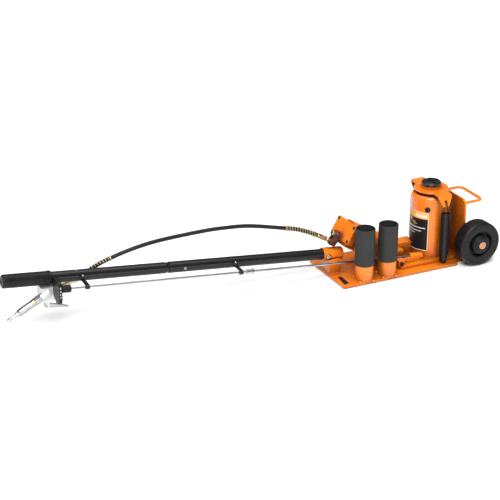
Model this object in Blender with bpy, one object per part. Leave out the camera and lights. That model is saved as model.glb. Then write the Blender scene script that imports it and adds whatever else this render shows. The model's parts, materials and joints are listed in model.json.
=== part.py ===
"""A wheeled air-hydraulic truck jack: a bottle jack on a base plate, with two wheels, a long bar handle,
an air motor fed by a hose, and a valve and a release knob at the far end of the handle.

The origin is on the ram's axis, at the underside of the base plate. X runs towards the wheels, the handle
points to -X, and Z is up. All sizes are in metres.
"""

import math

import bpy
import bmesh
from mathutils import Matrix, Vector

GAP = 0.0003
RUNNING = 0.0001

# Base and back plates
PLATE = 0.009
PLATE_HALF = 0.120
PLATE_REAR = 0.044
PLATE_FRONT = -0.388
TONGUE_HALF = 0.098
TONGUE_END = 0.112
BACK_X = 0.077
BACK_THICK = 0.0065
BACK_HALF = 0.091
BACK_TOP = 0.216
LOOP_HEIGHT = 0.195
LOOP_HALF = 0.065
LOOP_END = 0.163

# Wheels
WHEEL_X = 0.106
WHEEL_RADIUS = 0.075
WHEEL_HEIGHT = WHEEL_RADIUS + 0.002
WHEEL_INNER = 0.102
WHEEL_OUTER = 0.154
HUB_FACE = 0.163
HUB_RADIUS = 0.046
AXLE_RADIUS = 0.00975
AXLE_END = 0.166

# Hydraulic jack
RAM_RADIUS = 0.025
RAM_NECK = 0.017
CYLINDER_RADIUS = 0.033
CYLINDER_TOP = 0.214
RAM_FOOT = 0.045
RAM_END = 0.2585
TANK_RADIUS = 0.0645
TANK_WALL = 0.003
TANK_FOOT = 0.022
TANK_TOP = 0.230
TANK_SHOULDER = 0.013
CAP_RADIUS = 0.034
LABEL_FOOT = 0.042
LABEL_TOP = 0.1765
LABEL_THICK = 0.0008
LABEL_START = 35.3
LABEL_WRAP = 104
FILLER_TURN = 39.5
FILLER_HEIGHT = 0.188
FLANGE_TOP = 0.018
YOKE_TOP = 0.246
YOKE_THICK = 0.006
YOKE_DISC = 0.057
COLLAR_RADIUS = 0.0325
COLLAR_TOP = 0.2535
SADDLE_TOP = 0.2665
SADDLE_RADIUS = 0.033
SPRING_Y = 0.095
SPRING_RADIUS = 0.016
SPRING_TOP = 0.189
EAR_HOLE = 0.225
SPRING_FOOT = 0.0100
SPRING_HOLE = 0.0035
SPRING_WIRE = 0.0022

# Adapter tubes
ADAPTER_X = (-0.2975, -0.2124)
ADAPTER_Y = -0.0896
ADAPTER_RADIUS = 0.03225
ADAPTER_BORE = 0.02825
ADAPTER_FOOT = 0.0617
ADAPTER_TOP = 0.1855
PEG_RADIUS = 0.0305
BEAD_RING = 0.0345

# Air motor
MOTOR_AT = (-0.3205, 0.015, 0.1445)
MOTOR_SLOPE = math.radians(30)
MOTOR_HALF = 0.058
MOTOR_HALF_HIGH = 0.033
MOTOR_PLATE = 0.008
MOTOR_LENGTH = 0.158
MOTOR_BORE = 0.026

# Handle
HANDLE_AT = (-0.3956, 0.015, 0.07175)
HANDLE_SLOPE = math.radians(6.275)
TUBE_RADIUS = 0.018
TUBE_WALL = 0.0025
NECK_RADIUS = 0.0152
LOWER_START = -0.061
JOINT_AT = 0.546
HANDLE_END = 1.078
GRIP_START = 0.928
GRIP_RADIUS = 0.021
SOCKET_RADIUS = 0.022
BUTTON_AT = 0.495
CLIPS_AT = (0.324, 0.8325)

# Release rod
ROD_AT = (-0.1044, -0.048, 0.0327)
ROD_SLOPE = math.radians(6.006)
ROD_RADIUS = 0.004
ROD_START = -0.030
ROD_END = 1.178
KNOB_LENGTH = 0.0290
COUPLING_AT = 0.586

# Control valve at the far end of the handle
VALVE_Y = 0.004
COUPLER_AT = (-1.353, VALVE_Y, 0.1185)
COUPLER_SLOPE = math.radians(-27.5)
PIVOT = (-1.3375, VALVE_Y, 0.0915)
LEVER_TIP = (-1.271, VALVE_Y, 0.075)
STEM_X = -1.3045
BRACKET_X = -1.3168
BRACKET_THICK = 0.0105
BRACKET_NEAR = -0.062

# Air hose: the route's own points, from the motor to the valve
HOSE_RADIUS = 0.0065
GUARD_OUTER = 0.0093
GUARD_INNER = 0.0071
GUARD_SPANS = 5
HOSE_ROUTE = (
    (-0.4150, 0.0210, 0.1414),
    (-0.4720, 0.0235, 0.1676),
    (-0.5330, 0.0270, 0.1845),
    (-0.6510, 0.0310, 0.2118),
    (-0.7370, 0.0340, 0.2200),
    (-0.8210, 0.0370, 0.2211),
    (-0.9540, 0.0410, 0.2152),
    (-1.0360, 0.0430, 0.2041),
    (-1.1120, 0.0460, 0.1850),
    (-1.1700, 0.0460, 0.1650),
    (-1.2050, 0.0440, 0.1465),
    (-1.2240, 0.0400, 0.1395),
)
HOSE_POINTS = 40

ORANGE = ((0.83, 0.19, 0.012), 0.28, 0.0)
BLACK_PAINT = ((0.035, 0.036, 0.038), 0.38, 0.0)
RUBBER = ((0.022, 0.022, 0.024), 0.62, 0.0)
STEEL = ((0.62, 0.62, 0.63), 0.25, 1.0)
ALUMINIUM = ((0.80, 0.80, 0.79), 0.30, 1.0)
BRASS = ((0.70, 0.45, 0.14), 0.30, 1.0)
YELLOW_ZINC = ((0.62, 0.55, 0.26), 0.32, 1.0)
DARK_ZINC = ((0.16, 0.07, 0.06), 0.35, 0.8)
LABEL_BLACK = ((0.02, 0.018, 0.019), 0.4, 0.0)


def slanted(point, slope):
    """Axes at a point: local Z runs to -X and up by the slope, local X to -Y, and local Y upwards."""
    out = Vector((-math.cos(slope), 0, math.sin(slope)))
    side = Vector((0, -1, 0))
    rise = out.cross(side)
    axes = Matrix((side, rise, out)).transposed().to_4x4()
    return Matrix.Translation(point) @ axes


MOTOR = slanted(MOTOR_AT, MOTOR_SLOPE)
HANDLE = slanted(HANDLE_AT, HANDLE_SLOPE)
ROD = slanted(ROD_AT, ROD_SLOPE)
COUPLER = slanted(COUPLER_AT, COUPLER_SLOPE)
TO_NEAR = Matrix.Rotation(math.radians(90), 4, "X")
TO_FAR = Matrix.Rotation(math.radians(-90), 4, "X")


def at(x, y, z):
    return Matrix.Translation((x, y, z))


# Shapes are pairs of points and faces, placed by a matrix and gathered into one piece.


def turned(profile, segments=32):
    """Spins a profile of (radius, height), going up its outer side. A profile that starts and ends on the
    axis makes a solid, and any other is closed on itself and makes a ring."""
    rings = []
    points = []
    for radius, height in profile:
        first = len(points)
        if radius == 0:
            points.append((0, 0, height))
            rings.append([first] * segments)
            continue
        for k in range(segments):
            angle = 2 * math.pi * (k + 0.5) / segments
            points.append((radius * math.cos(angle), radius * math.sin(angle), height))
        rings.append([first + k for k in range(segments)])
    if profile[0][0] > 0:
        rings.append(rings[0])
    faces = []
    for low, high in zip(rings, rings[1:]):
        for k in range(segments):
            n = (k + 1) % segments
            face = []
            for corner in (low[k], low[n], high[n], high[k]):
                if corner not in face:
                    face.append(corner)
            if len(face) > 2:
                faces.append(face)
    return points, faces


def rod(radius, start, end, segments=24):
    return turned([(0, start), (radius, start), (radius, end), (0, end)], segments)


def ring(outer, inner, start, end, segments=32):
    return turned([(outer, start), (outer, end), (inner, end), (inner, start)], segments)


def prism(outline, start, end):
    """Extrudes an outline of (x, y) along Z."""
    count = len(outline)
    points = [(x, y, start) for x, y in outline] + [(x, y, end) for x, y in outline]
    faces = [[k, (k + 1) % count, count + (k + 1) % count, count + k] for k in range(count)]
    faces.append(list(range(count))[::-1])
    faces.append(list(range(count, 2 * count)))
    return points, faces


def block(low, high):
    """A box between two corners."""
    outline = [(low[0], low[1]), (high[0], low[1]), (high[0], high[1]), (low[0], high[1])]
    return prism(outline, low[2], high[2])


def placed(shape, matrix):
    points, faces = shape
    return [tuple(matrix @ Vector(p)) for p in points], faces


def rounded(corners, steps=4):
    """An outline from (x, y, radius) corners, each rounded by an arc where its radius isn't zero."""
    outline = []
    count = len(corners)
    for k, (x, y, radius) in enumerate(corners):
        here = Vector((x, y))
        if radius == 0:
            outline.append((x, y))
            continue
        before = (Vector(corners[k - 1][:2]) - here).normalized()
        after = (Vector(corners[(k + 1) % count][:2]) - here).normalized()
        half = before.angle(after) / 2
        centre = here + (before + after).normalized() * radius / math.sin(half)
        start = here + before * radius / math.tan(half) - centre
        end = here + after * radius / math.tan(half) - centre
        for step in range(steps + 1):
            spoke = start.lerp(end, step / steps).normalized() * radius
            outline.append(tuple(centre + spoke))
    return outline


def rectangle(low, high, radius, steps=4):
    """A rounded rectangle between two corners."""
    corners = [
        (low[0], low[1], radius), (high[0], low[1], radius),
        (high[0], high[1], radius), (low[0], high[1], radius),
    ]
    return rounded(corners, steps)


def strap(path, thick):
    """The outline of a bent strip that follows a path of (x, y)."""
    points = [Vector(p) for p in path]
    left = []
    right = []
    for k, point in enumerate(points):
        before = (point - points[k - 1]).normalized() if k else None
        after = (points[k + 1] - point).normalized() if k + 1 < len(points) else None
        along = ((before or after) + (after or before)).normalized()
        across = Vector((-along.y, along.x))
        stretch = thick / 2 / max(0.5, along.dot(after or before))
        left.append(tuple(point + across * stretch))
        right.append(tuple(point - across * stretch))
    return left + right[::-1]


def smooth_path(points, count):
    """Evenly spaced points on a smooth curve through the given ones."""
    knots = [Vector(p) for p in points]
    ends = [2 * knots[0] - knots[1]] + knots + [2 * knots[-1] - knots[-2]]
    fine = []
    for k in range(1, len(ends) - 2):
        p0, p1, p2, p3 = ends[k - 1 : k + 3]
        for step in range(20):
            t = step / 20
            fine.append(
                0.5 * (2 * p1 + (p2 - p0) * t + (2 * p0 - 5 * p1 + 4 * p2 - p3) * t * t
                       + (3 * p1 - p0 - 3 * p2 + p3) * t * t * t)
            )
    fine.append(knots[-1])
    lengths = [0.0]
    for a, b in zip(fine, fine[1:]):
        lengths.append(lengths[-1] + (b - a).length)
    even = []
    segment = 0
    for k in range(count):
        wanted = lengths[-1] * k / (count - 1)
        while segment < len(fine) - 2 and lengths[segment + 1] < wanted:
            segment += 1
        share = (wanted - lengths[segment]) / (lengths[segment + 1] - lengths[segment])
        even.append(fine[segment].lerp(fine[segment + 1], share))
    return even


def swept_ring(path, outer, inner, sides=12):
    """A round tube wall along a path, open at both ends."""
    points = []
    rows = []
    turn = None
    for k, point in enumerate(path):
        along = (path[min(k + 1, len(path) - 1)] - path[max(k - 1, 0)]).normalized()
        side = Vector((0, 1, 0)) if turn is None else turn
        side = (side - along * side.dot(along)).normalized()
        turn = side
        rise = along.cross(side)
        for radius in (outer, inner):
            first = len(points)
            for n in range(sides):
                angle = 2 * math.pi * n / sides
                points.append(tuple(point + (side * math.cos(angle) + rise * math.sin(angle)) * radius))
            rows.append([first + n for n in range(sides)])
    faces = []
    outer_rows = rows[0::2]
    inner_rows = rows[1::2]
    loops = outer_rows + inner_rows[::-1] + [outer_rows[0]]
    for a, b in zip(loops, loops[1:]):
        for n in range(sides):
            m = (n + 1) % sides
            faces.append([a[n], a[m], b[m], b[n]])
    return points, faces


MATERIALS = {}


def material(look):
    if look not in MATERIALS:
        colour, roughness, metallic = look
        made = bpy.data.materials.new("look_%02d" % len(MATERIALS))
        made.use_nodes = True
        shader = made.node_tree.nodes["Principled BSDF"]
        shader.inputs["Base Color"].default_value = (*colour, 1)
        shader.inputs["Roughness"].default_value = roughness
        shader.inputs["Metallic"].default_value = metallic
        made.diffuse_color = (*colour, 1)
        MATERIALS[look] = made
    return MATERIALS[look]


def piece(name, shape, look, origin=(0, 0, 0)):
    """Makes an object whose origin is at the given point, with its faces turned outwards."""
    origin = Vector(origin)
    points, faces = shape
    mesh = bpy.data.meshes.new(name)
    mesh.from_pydata([Vector(p) - origin for p in points], [], faces)
    work = bmesh.new()
    work.from_mesh(mesh)
    bmesh.ops.recalc_face_normals(work, faces=work.faces)
    work.to_mesh(mesh)
    work.free()
    mesh.shade_smooth()
    mesh.set_sharp_from_angle(angle=math.radians(35))
    made = bpy.data.objects.new(name, mesh)
    made.location = origin
    made.data.materials.append(material(look))
    bpy.context.scene.collection.objects.link(made)
    return made


def boolean(body, shape, operation):
    """Joins a shape to a body, or cuts it away, with a hidden guide."""
    guide = piece("guide_%s_%d" % (body.name, len(body.modifiers)), shape, ORANGE)
    guide.hide_render = True
    guide.display_type = "WIRE"
    change = body.modifiers.new(guide.name, "BOOLEAN")
    change.operation = operation
    change.object = guide
    return body


def cut(body, *shapes):
    for shape in shapes:
        boolean(body, shape, "DIFFERENCE")
    return body


def join(body, *shapes):
    for shape in shapes:
        boolean(body, shape, "UNION")
    return body


def bent_bar(name, path, radius, look, resolution=2):
    """A round bar or hose along a path, as a curve with a bevel and filled caps."""
    curve = bpy.data.curves.new(name, "CURVE")
    curve.dimensions = "3D"
    curve.bevel_depth = radius
    curve.bevel_resolution = resolution
    curve.use_fill_caps = True
    spline = curve.splines.new("POLY")
    spline.points.add(len(path) - 1)
    for k, point in enumerate(path):
        spline.points[k].co = (*point, 1)
    made = bpy.data.objects.new(name, curve)
    curve.materials.append(material(look))
    bpy.context.scene.collection.objects.link(made)
    return made


def corner_path(corners, steps=5):
    """A path of straight runs through (point, radius) corners, with each inner corner rounded."""
    path = [Vector(corners[0][0])]
    for k in range(1, len(corners) - 1):
        here, radius = Vector(corners[k][0]), corners[k][1]
        before = (Vector(corners[k - 1][0]) - here).normalized()
        after = (Vector(corners[k + 1][0]) - here).normalized()
        half = before.angle(after) / 2
        centre = here + (before + after).normalized() * radius / math.sin(half)
        start = here + before * radius / math.tan(half) - centre
        end = here + after * radius / math.tan(half) - centre
        for step in range(steps + 1):
            path.append(centre + start.lerp(end, step / steps).normalized() * radius)
    path.append(Vector(corners[-1][0]))
    return path


# Chassis


def chassis():
    plate = rounded([
        (PLATE_FRONT, -PLATE_HALF, 0.006), (PLATE_REAR, -PLATE_HALF, 0.004),
        (PLATE_REAR, -TONGUE_HALF, 0), (TONGUE_END, -TONGUE_HALF, 0.004),
        (TONGUE_END, TONGUE_HALF, 0.004), (PLATE_REAR, TONGUE_HALF, 0),
        (PLATE_REAR, PLATE_HALF, 0.004), (PLATE_FRONT, PLATE_HALF, 0.006),
    ])
    base = piece("base_plate", prism(plate, 0, PLATE), ORANGE)
    for side in (-1, 1):
        cut(base, placed(rod(SPRING_HOLE, -PLATE, 2 * PLATE, 12), at(0, side * SPRING_Y, 0)))

    chamfer = 0.0135
    upright = [
        (-BACK_HALF, PLATE + GAP), (BACK_HALF, PLATE + GAP), (BACK_HALF, BACK_TOP - chamfer),
        (BACK_HALF - chamfer, BACK_TOP), (chamfer - BACK_HALF, BACK_TOP), (-BACK_HALF, BACK_TOP - chamfer),
    ]
    stand = Matrix(((0, 0, 1), (1, 0, 0), (0, 1, 0))).to_4x4()
    piece("back_plate", placed(prism(upright, BACK_X, BACK_X + BACK_THICK), stand), ORANGE)

    rear = BACK_X + BACK_THICK + GAP
    loop = corner_path([
        ((rear, -LOOP_HALF, LOOP_HEIGHT), 0), ((LOOP_END, -LOOP_HALF, LOOP_HEIGHT), 0.018),
        ((LOOP_END, LOOP_HALF, LOOP_HEIGHT), 0.018), ((rear, LOOP_HALF, LOOP_HEIGHT), 0),
    ])
    bent_bar("carry_handle", loop, 0.005, ORANGE, 1)

    cheek = rounded([
        (rear, PLATE + GAP, 0), (0.1105, PLATE + GAP, 0), (0.124, 0.060, 0.01),
        (0.124, 0.096, 0.012), (rear, 0.112, 0),
    ])
    flat = placed(prism(cheek, -0.004, 0.004), TO_NEAR)
    axle_line = at(WHEEL_X, 0, WHEEL_HEIGHT) @ TO_FAR
    web = block((rear, -0.086, PLATE + GAP), (rear + 0.006, 0.086, 0.050))
    bracket = piece("axle_bracket", web, ORANGE)
    join(bracket, placed(flat, at(0, -0.087, 0)), placed(flat, at(0, 0.087, 0)))
    cut(bracket, placed(rod(AXLE_RADIUS + GAP, -0.11, 0.11, 32), axle_line))
    bevel = 0.0015
    pin = [
        (0, -AXLE_END), (AXLE_RADIUS - bevel, -AXLE_END), (AXLE_RADIUS, bevel - AXLE_END),
        (AXLE_RADIUS, AXLE_END - bevel), (AXLE_RADIUS - bevel, AXLE_END), (0, AXLE_END),
    ]
    piece("axle", placed(turned(pin), axle_line), ORANGE)


def wheel(name, side):
    """A solid rubber tyre on a hub with a deep ring recess in its outer face."""
    middle = (WHEEL_X, 0, WHEEL_HEIGHT)
    outward = Matrix.Translation(middle) @ (TO_FAR if side > 0 else TO_NEAR)
    shoulder = 0.008
    tyre = [(HUB_RADIUS + GAP, WHEEL_INNER), (WHEEL_RADIUS - shoulder, WHEEL_INNER)]
    for k in range(1, 4):
        turn = math.pi / 2 * k / 3
        tyre.append((
            WHEEL_RADIUS - shoulder + shoulder * math.sin(turn),
            WHEEL_INNER + shoulder - shoulder * math.cos(turn),
        ))
    for k in range(4):
        turn = math.pi / 2 * k / 3
        tyre.append((
            WHEEL_RADIUS - shoulder + shoulder * math.cos(turn),
            WHEEL_OUTER - shoulder + shoulder * math.sin(turn),
        ))
    wall = WHEEL_OUTER - 0.0012
    tyre += [(0.0645, WHEEL_OUTER), (0.0635, wall), (HUB_RADIUS + GAP, wall)]
    piece(name + "_tyre", placed(turned(tyre, 40), outward), RUBBER, middle)
    bore = AXLE_RADIUS + RUNNING
    recess = WHEEL_OUTER - 0.018
    hub = [
        (bore, 0.0915), (0.018, 0.0915), (0.020, WHEEL_INNER), (HUB_RADIUS, WHEEL_INNER),
        (HUB_RADIUS, WHEEL_OUTER - 0.002),
        (0.043, WHEEL_OUTER - 0.002), (0.042, recess), (0.032, recess), (0.031, WHEEL_OUTER + 0.004),
        (0.0245, WHEEL_OUTER + 0.006), (0.0235, HUB_FACE), (bore, HUB_FACE),
    ]
    piece(name + "_hub", placed(turned(hub, 32), outward), BLACK_PAINT, middle)


# Hydraulic jack


def casting():
    flange = rectangle((-0.155, -0.083), (0.056, 0.083), 0.006)
    body = piece("jack_base", prism(flange, PLATE + GAP, FLANGE_TOP), ORANGE)
    rim = TANK_RADIUS + 0.0005
    seat = turned([(0, 0.015), (rim, 0.015), (rim, TANK_FOOT), (0, TANK_FOOT)], 40)
    raised = rectangle((-0.084, -0.0625), (0.003, 0.0625), 0.004, 2)
    low_block = prism(raised, 0.0125, TANK_FOOT - 0.001)
    pump = placed(block((-0.030, -0.027, -0.206), (0.030, 0.024, -MOTOR_LENGTH - GAP)), MOTOR)
    side_view = [(-0.150, 0.013), (-0.056, 0.013), (-0.056, 0.060), (-0.120, 0.060), (-0.150, 0.050)]
    foot = placed(prism(side_view, -0.048, -0.004), TO_NEAR)
    heel = block((-0.1485, -0.021, 0.0135), (-0.108, 0.010, 0.047))
    collar = placed(rod(0.012, -0.048, -0.002, 16), ROD)
    lug = block((-0.158, -0.074, 0.013), (-0.136, -0.052, 0.036))
    join(body, seat, low_block, pump, foot, heel, collar, lug)
    clear = TANK_RADIUS + LABEL_THICK + GAP
    cut(body, rod(clear, TANK_FOOT - GAP, TANK_TOP, 48))
    cut(body, placed(rod(ROD_RADIUS + 0.0005, -0.034, 0.02, 16), ROD))
    cut(body, placed(rod(0.0062, -0.237, -0.150, 16), MOTOR))
    for side in (-1, 1):
        web = block((-0.140, side * 0.058 - 0.003, 0.014), (-0.070, side * 0.058 + 0.003, 0.034))
        join(body, web)
    plug = rod(0.006, GAP, 0.006, 16)
    piece("base_plug", placed(plug, at(-0.147, -0.074, 0.0255) @ TO_NEAR), BLACK_PAINT)


def tank():
    wall = [(TANK_RADIUS, TANK_FOOT), (TANK_RADIUS, TANK_TOP - TANK_SHOULDER)]
    inner = TANK_RADIUS - TANK_WALL
    for k in range(1, 5):
        turn = math.pi / 2 * k / 4
        wall.append((
            TANK_RADIUS - TANK_SHOULDER + TANK_SHOULDER * math.cos(turn),
            TANK_TOP - TANK_SHOULDER + TANK_SHOULDER * math.sin(turn),
        ))
    wall += [
        (CAP_RADIUS + GAP, TANK_TOP), (CAP_RADIUS + GAP, TANK_TOP - TANK_WALL),
        (inner - 0.010, TANK_TOP - TANK_WALL), (inner, TANK_TOP - TANK_SHOULDER), (inner, TANK_FOOT),
    ]
    shell = piece("reservoir", turned(wall, 48), ORANGE)
    turn = math.radians(FILLER_TURN)
    out = Vector((-math.sin(turn), -math.cos(turn), 0))
    spot = Vector((0, 0, FILLER_HEIGHT)) + out * TANK_RADIUS
    face = Matrix.Translation(spot) @ out.to_track_quat("Z", "Y").to_matrix().to_4x4()
    cut(shell, placed(rod(0.0063, -0.010, 0.010, 16), face))
    plug = [
        (0, -0.005), (0.006, -0.005), (0.006, 0.0012), (0.009, 0.0012), (0.009, 0.0030),
        (0.0078, 0.0042), (0.0032, 0.0042), (0.0028, 0.0026), (0, 0.0026),
    ]
    piece("filler_plug", placed(turned(plug, 20), face), BLACK_PAINT)

    bore = RAM_RADIUS + 0.0003
    barrel = [
        (bore, TANK_FOOT), (CYLINDER_RADIUS, TANK_FOOT), (CYLINDER_RADIUS, CYLINDER_TOP),
        (bore, CYLINDER_TOP),
    ]
    piece("pressure_cylinder", turned(barrel, 32), STEEL)
    cap = [
        (bore, CYLINDER_TOP + GAP), (CAP_RADIUS, CYLINDER_TOP + GAP), (CAP_RADIUS, TANK_TOP + 0.005),
        (CAP_RADIUS - 0.002, TANK_TOP + 0.007),
        (bore, TANK_TOP + 0.007),
    ]
    piece("top_cap", turned(cap, 32), ORANGE)

    arc = []
    first = math.radians(270 - LABEL_START)
    steps = 14
    for k in range(steps + 1):
        arc.append(first - math.radians(LABEL_WRAP) * k / steps)
    front = TANK_RADIUS + LABEL_THICK
    behind = TANK_RADIUS + GAP
    outline = [(math.cos(a) * front, math.sin(a) * front) for a in arc]
    outline += [(math.cos(a) * behind, math.sin(a) * behind) for a in arc[::-1]]
    piece("reservoir_label", prism(outline, LABEL_FOOT, LABEL_TOP), LABEL_BLACK)


def ram():
    step = YOKE_TOP - YOKE_THICK - GAP
    body = [
        (0, RAM_FOOT), (RAM_RADIUS - 0.001, RAM_FOOT), (RAM_RADIUS, RAM_FOOT + 0.002), (RAM_RADIUS, step),
        (RAM_NECK, step), (RAM_NECK, RAM_END), (0, RAM_END),
    ]
    piece("ram", turned(body, 32), STEEL)

    outline = []
    half = 0.024
    fold = 0.084
    turn = math.asin(half / YOKE_DISC)
    for quarter in (0, 1):
        for k in range(9):
            angle = -math.pi / 2 + turn + (math.pi - 2 * turn) * k / 8 + math.pi * quarter
            outline.append((YOKE_DISC * math.cos(angle), YOKE_DISC * math.sin(angle)))
        side = 1 if quarter == 0 else -1
        outline += [(side * half, side * fold), (-side * half, side * fold)]
    plate = prism(outline, YOKE_TOP - YOKE_THICK, YOKE_TOP)
    yoke = piece("yoke", plate, ORANGE)
    ear = [
        (-half, 0.0045), (half, 0.0045), (half, -0.006),
        (0.0105, -0.0345), (-0.0105, -0.0345), (-half, -0.006),
    ]
    for side in (-1, 1):
        tilt = Matrix.Rotation(math.radians(90 + 14 * side), 4, "X")
        stand = at(0, side * (fold + 0.0012), YOKE_TOP - 0.0045) @ tilt
        join(yoke, placed(prism(ear, -0.003, 0.003), stand))
        drill = placed(rod(0.0055, -0.015, 0.015, 16), at(0, side * 0.091, EAR_HOLE) @ TO_NEAR)
        cut(yoke, drill)
    join(yoke, rod(COLLAR_RADIUS, YOKE_TOP - 0.003, COLLAR_TOP, 36))
    cut(yoke, rod(RAM_NECK + GAP, 0.2, 0.3, 32))


def saddle():
    """The swivelling head on the ram: a blind bore below, and crossed grooves in its top."""
    bore = RAM_NECK + RUNNING
    low = COLLAR_TOP + 0.0005
    profile = [
        (bore, low), (SADDLE_RADIUS - 0.001, low), (SADDLE_RADIUS, low + 0.0015),
        (SADDLE_RADIUS, SADDLE_TOP - 0.003), (SADDLE_RADIUS - 0.003, SADDLE_TOP), (0, SADDLE_TOP),
        (0, RAM_END + 0.0007), (bore, RAM_END + 0.0007),
    ]
    body = piece("saddle", turned(profile), BLACK_PAINT)
    for turn in (0, 90):
        spin = Matrix.Rotation(math.radians(turn), 4, "Z")
        groove = block((-0.04, -0.003, SADDLE_TOP - 0.0035), (0.04, 0.003, SADDLE_TOP + 0.01))
        cut(body, placed(groove, spin))


def springs():
    """Return springs: close-wound bodies with a hook at each end, as plain solids."""
    for name, side in (("spring_near", -1), ("spring_far", 1)):
        centre = at(0, side * SPRING_Y, 0)
        body = [
            (0, SPRING_FOOT), (0.0085, SPRING_FOOT), (SPRING_RADIUS, 0.042), (SPRING_RADIUS, 0.178),
            (0.013, SPRING_TOP), (0, SPRING_TOP),
        ]
        coil = piece(name, placed(turned(body, 20), centre), BLACK_PAINT, (0, side * SPRING_Y, 0))
        top = [
            (0.095, 0.180), (0.0965, 0.196), (0.1005, 0.206), (0.1010, 0.216), (0.0985, 0.2225),
            (0.0920, 0.2255), (0.0865, 0.2235), (0.0848, 0.2165),
        ]
        low = [(SPRING_Y, 0.030), (SPRING_Y, 0.006), (SPRING_Y, 0.0025)]
        for hook in (top, low):
            wire = swept_rod([Vector((0, side * y, z)) for y, z in hook], SPRING_WIRE)
            join(coil, wire)


def swept_rod(path, radius, sides=8):
    """A round wire along a path, with flat ends."""
    points = []
    rows = []
    side = Vector((1, 0, 0))
    for k, point in enumerate(path):
        along = (path[min(k + 1, len(path) - 1)] - path[max(k - 1, 0)]).normalized()
        side = (side - along * side.dot(along)).normalized()
        rise = along.cross(side)
        rows.append([len(points) + n for n in range(sides)])
        for n in range(sides):
            angle = 2 * math.pi * n / sides
            points.append(tuple(point + (side * math.cos(angle) + rise * math.sin(angle)) * radius))
    faces = [rows[0][::-1], rows[-1]]
    for low, high in zip(rows, rows[1:]):
        for n in range(sides):
            m = (n + 1) % sides
            faces.append([low[n], low[m], high[m], high[n]])
    return points, faces


# Adapter tubes


def adapters():
    for name, x in (("peg_long", ADAPTER_X[0]), ("peg_short", ADAPTER_X[1])):
        foot = PLATE + GAP
        pilot = ADAPTER_BORE - 0.0004
        shape = [
            (0, foot), (PEG_RADIUS, foot), (PEG_RADIUS, ADAPTER_FOOT - GAP), (pilot, ADAPTER_FOOT - GAP),
            (pilot, 0.093), (0.024, 0.097), (0, 0.097),
        ]
        peg = piece(name, placed(turned(shape, 36), at(x, ADAPTER_Y, 0)), ORANGE)
        top = foot + 0.005
        bead = turned([(0, foot), (0.006, foot), (0.005, foot + 0.003), (0.002, top), (0, top)], 10)
        for degrees in (45, 135, 222, 300):
            turn = math.radians(degrees)
            spot = at(x + BEAD_RING * math.cos(turn), ADAPTER_Y + BEAD_RING * math.sin(turn), 0)
            join(peg, placed(bead, spot))
    for name, x in (("adapter_long", ADAPTER_X[0]), ("adapter_short", ADAPTER_X[1])):
        edge = 0.001
        sleeve = [
            (ADAPTER_RADIUS, ADAPTER_FOOT), (ADAPTER_RADIUS, ADAPTER_TOP - edge),
            (ADAPTER_RADIUS - edge, ADAPTER_TOP), (ADAPTER_BORE, ADAPTER_TOP), (ADAPTER_BORE, ADAPTER_FOOT),
        ]
        tube = placed(turned(sleeve, 36), at(x, ADAPTER_Y, 0))
        piece(name, tube, BLACK_PAINT, (x, ADAPTER_Y, ADAPTER_FOOT))


# Air motor


def motor():
    half = 0.047
    arch = [(half, -0.031), (half, 0.006)]
    for k in range(1, 10):
        turn = math.pi * k / 10
        arch.append((half * math.cos(turn), 0.006 + 0.034 * math.sin(turn)))
    arch += [(-half, 0.006), (-half, -0.031)]
    deep = -MOTOR_LENGTH
    face = -MOTOR_PLATE - GAP
    housing = piece("motor_housing", placed(prism(arch, deep, face - 0.006), MOTOR), ORANGE)
    step = block((-0.056, -0.0325, -0.022), (0.056, 0.0325, face))
    foot = block((-0.014, -0.046, -0.060), (0.038, -0.025, face - 0.002))
    join(housing, placed(step, MOTOR), placed(foot, MOTOR))
    cut(housing, placed(rod(MOTOR_BORE, deep + 0.012, 0.01, 32), MOTOR))
    cut(housing, placed(rod(0.0066, deep - 0.01, 0.0, 16), MOTOR))

    corner = 0.004
    rim = rounded([
        (-MOTOR_HALF, -MOTOR_HALF_HIGH, corner), (MOTOR_HALF, -MOTOR_HALF_HIGH, corner),
        (MOTOR_HALF, MOTOR_HALF_HIGH, corner), (-MOTOR_HALF, MOTOR_HALF_HIGH, corner),
    ], 2)
    plate = piece("motor_end_plate", placed(prism(rim, -MOTOR_PLATE, 0), MOTOR), ORANGE)
    boss = placed(rod(0.012, -0.001, 0.006 - GAP, 20), MOTOR @ at(0.004, -0.024, 0))
    join(plate, boss)
    head = [(0, GAP), (0.0048, GAP), (0.0048, 0.0022), (0.0036, 0.0032), (0, 0.0032)]
    corners = [(x, y) for x in (-0.050, 0.050) for y in (-0.025, 0.025)]
    for k, (x, y) in enumerate(corners, 1):
        piece("end_plate_screw_%d" % k, placed(turned(head, 12), MOTOR @ at(x, y, 0)), BLACK_PAINT)

    disc = [
        (0, -0.196), (0.006, -0.196), (0.006, -0.056), (0.0085, -0.050), (MOTOR_BORE - 0.0005, -0.046),
        (MOTOR_BORE - 0.0005, -0.034), (0, -0.034),
    ]
    piece("air_piston", placed(turned(disc, 24), MOTOR), ALUMINIUM, MOTOR_AT)

    lean = MOTOR @ at(0.004, -0.033, 0) @ Matrix.Rotation(math.radians(-14), 4, "Z")
    body = rounded([
        (-0.0135, -0.029, 0.006), (0.0135, -0.029, 0.006), (0.0135, 0.024, 0.010), (-0.0135, 0.024, 0.010),
    ], 3)
    piece("inlet_elbow", placed(prism(body, 0.0062, 0.028), lean), DARK_ZINC)
    head = [(0, 0.0283), (0.0095, 0.0283), (0.0095, 0.0365), (0.0080, 0.0385), (0, 0.0385)]
    piece("banjo_bolt", placed(turned(head, 6), MOTOR @ at(0.004, -0.022, 0)), YELLOW_ZINC)


# Handle


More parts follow.
